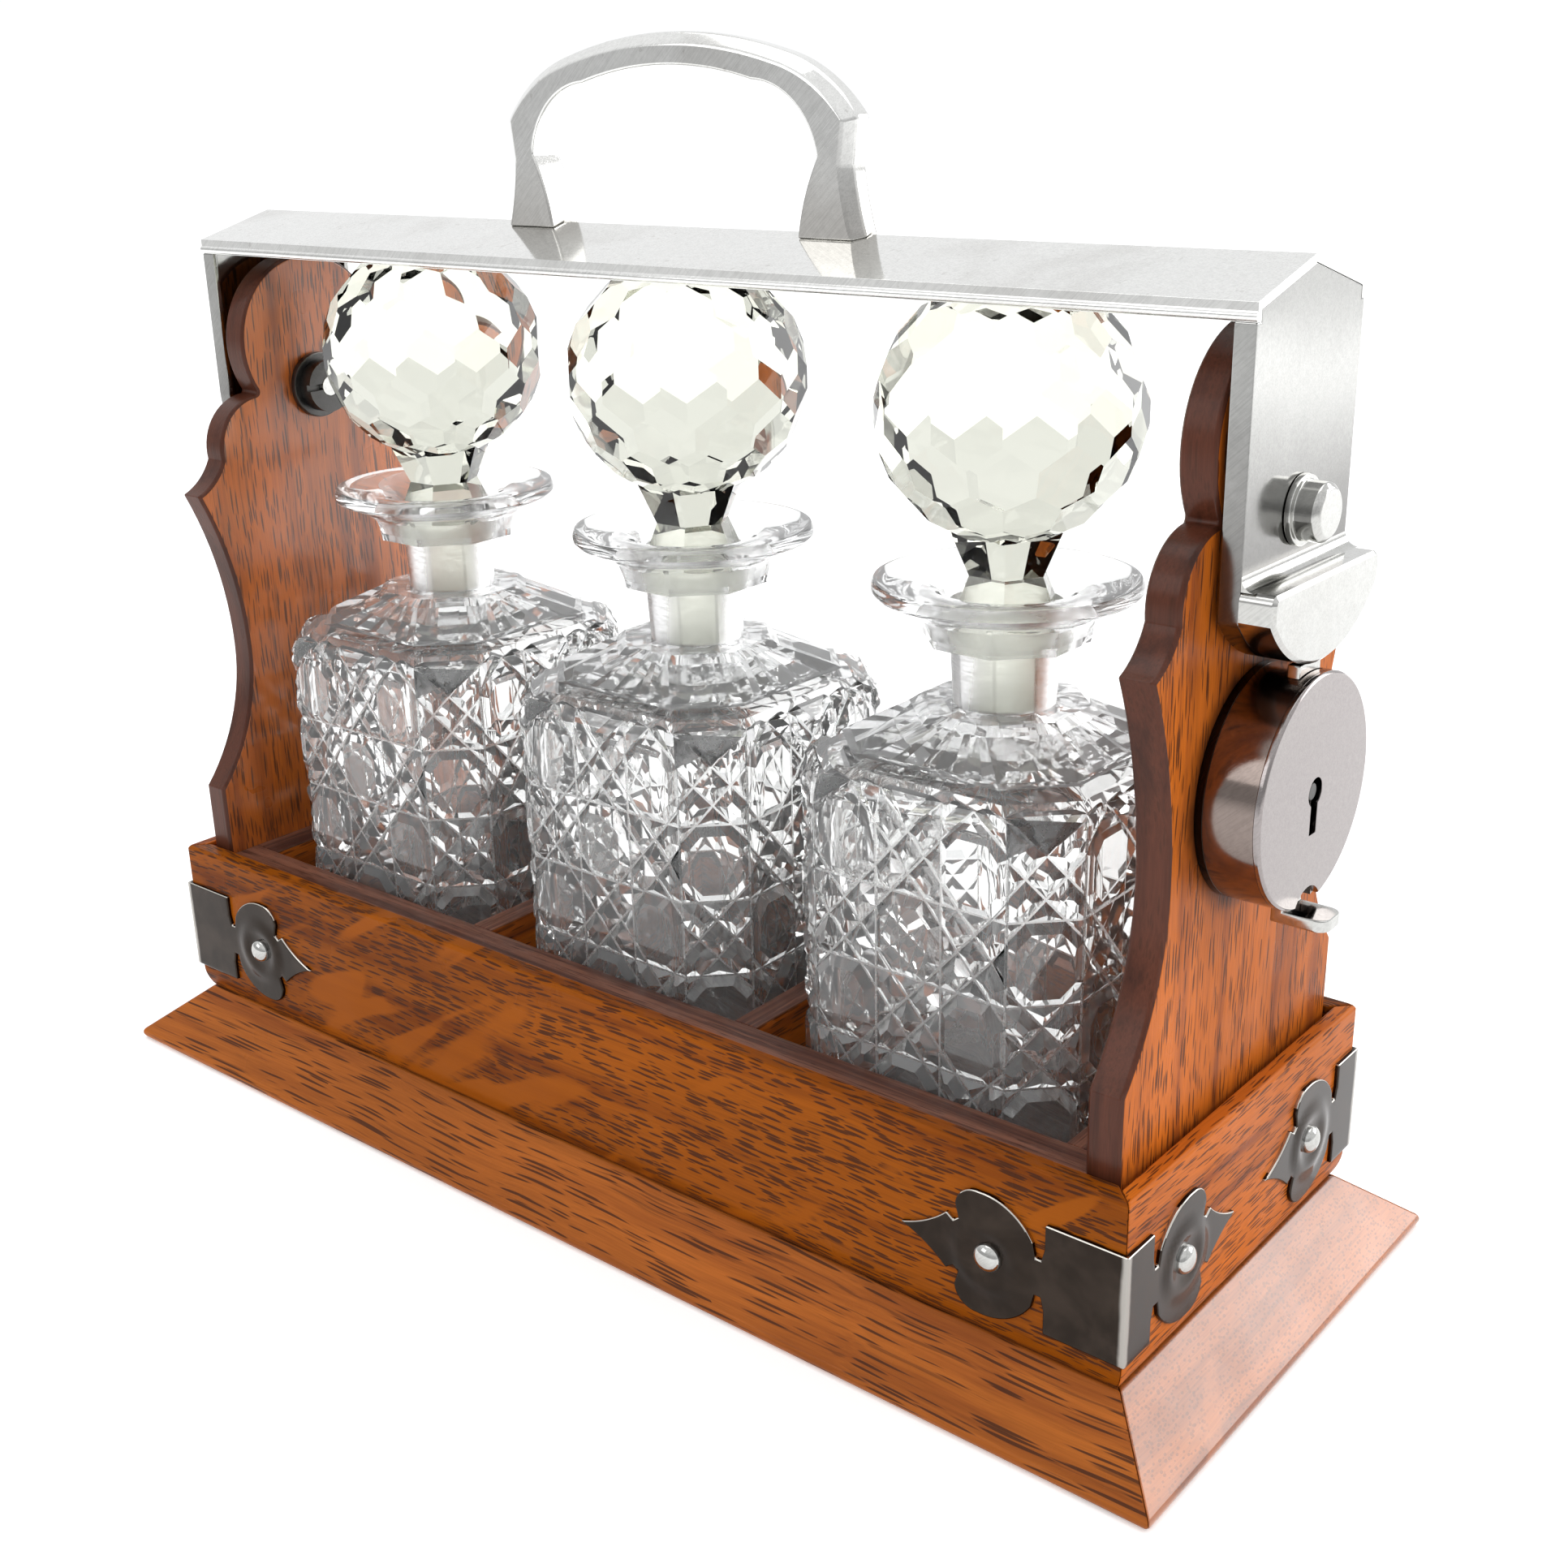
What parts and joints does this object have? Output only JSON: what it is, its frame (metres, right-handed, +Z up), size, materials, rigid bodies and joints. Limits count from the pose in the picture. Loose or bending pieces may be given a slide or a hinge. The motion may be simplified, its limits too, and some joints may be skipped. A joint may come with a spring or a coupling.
{
  "type": "antique tantalus",
  "caption": "Oak stand for square cut-glass decanters, held shut by a plated carrying bar that swings over the stoppers and locks at a drum lock on one end.",
  "frame": {"origin": "middle of the underside of the stand", "axes": "+X towards the end with the lock, -Y towards the front, +Z up"},
  "size_m": [0.36, 0.142, 0.293],
  "materials": {
    "oak": "polished",
    "rosewood": "satin",
    "silver_plate": "polished",
    "tarnished_plate": "polished",
    "brass": "satin",
    "steel": "satin",
    "glass": "polished"
  },
  "bodies": {
    "stand": {"base_board": "oak", "bracket_back_left": "tarnished_plate", "bracket_back_right": "tarnished_plate", "bracket_front_left": "tarnished_plate", "bracket_front_right": "tarnished_plate", "bracket_studs": "silver_plate", "deck": "oak", "divider_left": "rosewood", "divider_right": "rosewood", "drill_pin": "steel", "liner_back": "rosewood", "liner_front": "rosewood", "liner_left": "rosewood", "liner_right": "rosewood", "lock_back_plate": "brass", "lock_case": "silver_plate", "lock_cover": "silver_plate", "lock_screws": "steel", "pivot_collar_left": "silver_plate", "pivot_collar_right": "silver_plate", "pivot_nut_left": "steel", "pivot_nut_right": "steel", "pivot_stud_left": "silver_plate", "pivot_stud_right": "silver_plate", "pivot_washer_left": "steel", "pivot_washer_right": "steel", "plinth_back": "oak", "plinth_front": "oak", "plinth_left": "oak", "plinth_right": "oak", "skirt_back": "oak", "skirt_front": "oak", "skirt_left": "oak", "skirt_right": "oak", "tumbler_pin": "steel", "tumbler_spring": "steel", "upright_left": "oak", "upright_right": "oak"},
    "yoke": {"carrying_bar": "silver_plate", "strap_left": "silver_plate", "strap_right": "silver_plate", "hasp_boss": "silver_plate", "handle": "silver_plate", "handle_screws": "steel"},
    "bolt": {"lock_bolt": "silver_plate"},
    "lever": {"lock_tumbler": "brass"},
    "bottle_left": {"decanter_left": "glass"},
    "ball_left": {"stopper_left": "glass"},
    "bottle_centre": {"decanter_centre": "glass"},
    "ball_centre": {"stopper_centre": "glass"},
    "bottle_right": {"decanter_right": "glass"},
    "ball_right": {"stopper_right": "glass"}
  },
  "joints": [
    {"name": "yoke_swing", "type": "hinge", "parent": "stand", "child": "yoke", "pos_m": [0, 0, 0.199], "axis": [1, 0, 0], "range_deg": [-86, 86]},
    {"name": "bolt_throw", "type": "slide", "parent": "stand", "child": "bolt", "axis": [0, 0, 1], "range_m": [0, 0.0032]},
    {"name": "lever_lift", "type": "hinge", "parent": "stand", "child": "lever", "pos_m": [0.1617, -0.017, 0.144], "axis": [1, 0, 0], "range_deg": [0, 8]},
    {"name": "lift_left", "type": "slide", "parent": "stand", "child": "bottle_left", "axis": [0, 0, 1], "range_m": [0, 0.002]},
    {"name": "twist_left", "type": "hinge", "parent": "bottle_left", "child": "ball_left", "pos_m": [-0.0955, 0, 0.16], "axis": [0, 0, 1], "continuous": true},
    {"name": "lift_centre", "type": "slide", "parent": "stand", "child": "bottle_centre", "axis": [0, 0, 1], "range_m": [0, 0.002]},
    {"name": "twist_centre", "type": "hinge", "parent": "bottle_centre", "child": "ball_centre", "pos_m": [0, 0, 0.16], "axis": [0, 0, 1], "continuous": true},
    {"name": "lift_right", "type": "slide", "parent": "stand", "child": "bottle_right", "axis": [0, 0, 1], "range_m": [0, 0.002]},
    {"name": "twist_right", "type": "hinge", "parent": "bottle_right", "child": "ball_right", "pos_m": [0.0955, 0, 0.16], "axis": [0, 0, 1], "continuous": true}
  ]
}
